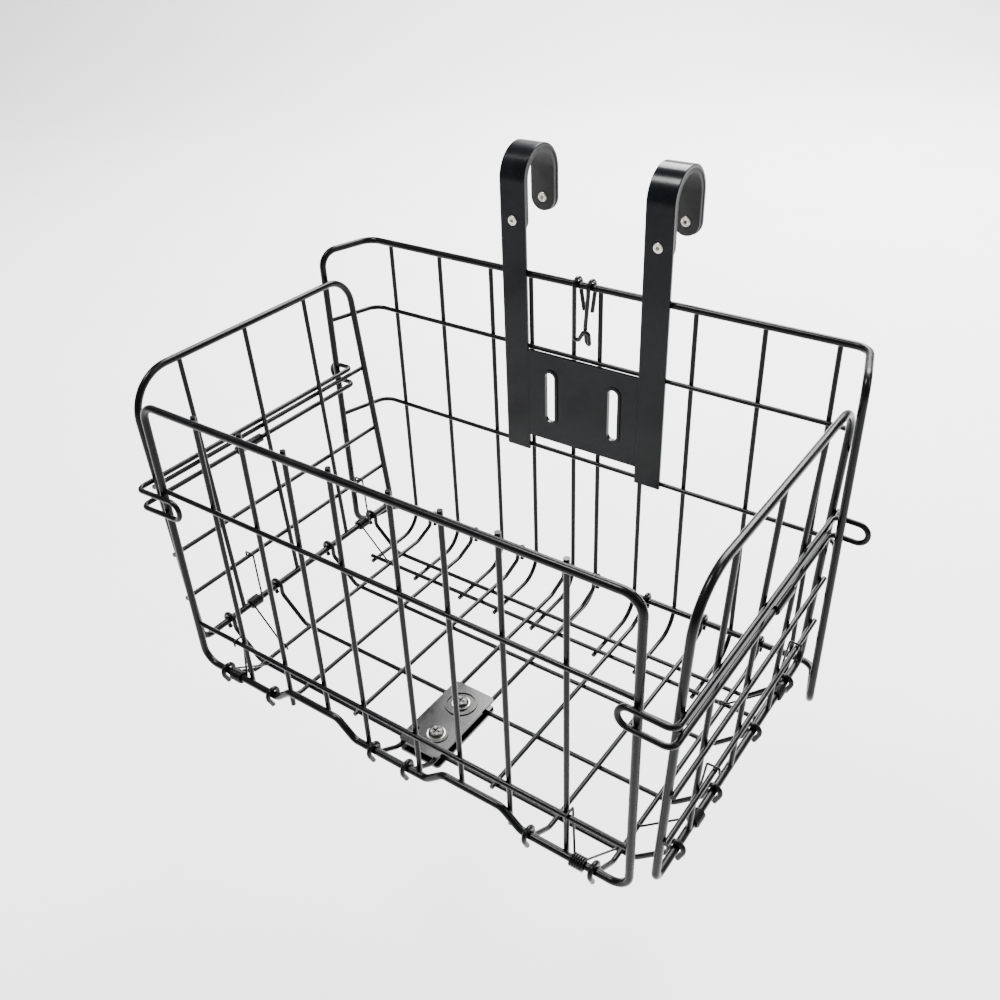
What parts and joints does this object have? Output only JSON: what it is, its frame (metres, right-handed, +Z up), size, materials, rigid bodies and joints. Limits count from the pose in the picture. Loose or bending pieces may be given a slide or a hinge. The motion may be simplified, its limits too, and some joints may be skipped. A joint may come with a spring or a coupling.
{
  "type": "handlebar basket",
  "caption": "Folding wire basket that hangs on a bicycle handlebar by two lined hooks, with sprung side and front panels and corner catch wires.",
  "frame": {"origin": "on the axis of the handlebar, midway between the two hooks", "axes": "+X to the right along the handlebar seen from the rider's side facing back, +Y towards the rider, -Y to the front of the basket, +Z up"},
  "size_m": [0.4404, 0.2836, 0.3539],
  "materials": {
    "coated_wire": "satin black powder coat",
    "coated_strap": "satin black powder coat on flat steel",
    "liner_rubber": "matt",
    "rivet_steel": "plain steel",
    "clip_wire": "black coated spring wire",
    "spring_steel": "black coated spring wire",
    "clamp_black": "gloss black coat with bright pressed edges",
    "screw_steel": "blackened steel"
  },
  "bodies": {
    "back_and_floor": {"back_frame": "coated_wire", "back_uprights": "coated_wire", "back_cross_wires": "coated_wire", "back_toe_wire": "coated_wire", "strap_left": "coated_strap", "strap_right": "coated_strap", "strap_plate": "coated_strap", "hook_liner_left": "liner_rubber", "hook_liner_right": "liner_rubber", "liner_rivets": "rivet_steel", "floor_long_wires": "coated_wire", "floor_cross_wires": "coated_wire", "clamp_top_plate": "clamp_black", "clamp_bottom_plate": "clamp_black", "clamp_screws": "screw_steel", "clamp_washers": "screw_steel", "clamp_nuts": "screw_steel"},
    "clip": {"fold_clip": "clip_wire"},
    "front_panel": {"front_frame": "coated_wire", "front_uprights": "coated_wire", "front_cross_wires": "coated_wire", "front_springs": "spring_steel"},
    "left_panel": {"left_frame": "coated_wire", "left_uprights": "coated_wire", "left_cross_wires": "coated_wire", "left_latch_wire": "coated_wire", "left_latch_sleeve": "coated_wire", "left_springs": "spring_steel"},
    "right_panel": {"right_frame": "coated_wire", "right_uprights": "coated_wire", "right_cross_wires": "coated_wire", "right_latch_wire": "coated_wire", "right_latch_sleeve": "coated_wire", "right_springs": "spring_steel"}
  },
  "joints": [
    {"name": "front_fold", "type": "hinge", "parent": "back_and_floor", "child": "front_panel", "pos_m": [0, -0.2549, -0.302], "axis": [-1, 0, 0], "range_deg": [0, 90], "stiffness_Nm_per_rad": 0.06, "springref_deg": -171.89, "deforming": ["front_springs"]},
    {"name": "left_fold", "type": "hinge", "parent": "back_and_floor", "child": "left_panel", "pos_m": [-0.186, 0, -0.2945], "axis": [0, 1, 0], "range_deg": [0, 92], "stiffness_Nm_per_rad": 0.05, "springref_deg": -171.89, "deforming": ["left_springs", "left_latch_wire"]},
    {"name": "right_fold", "type": "hinge", "parent": "back_and_floor", "child": "right_panel", "pos_m": [0.186, 0, -0.2945], "axis": [0, -1, 0], "range_deg": [0, 89], "stiffness_Nm_per_rad": 0.05, "springref_deg": -171.89, "deforming": ["right_springs", "right_latch_wire"]},
    {"name": "clip_swing", "type": "hinge", "parent": "back_and_floor", "child": "clip", "pos_m": [0, -0.0164, -0.0635], "axis": [-1, 0, 0], "range_deg": [-10, 110]}
  ]
}
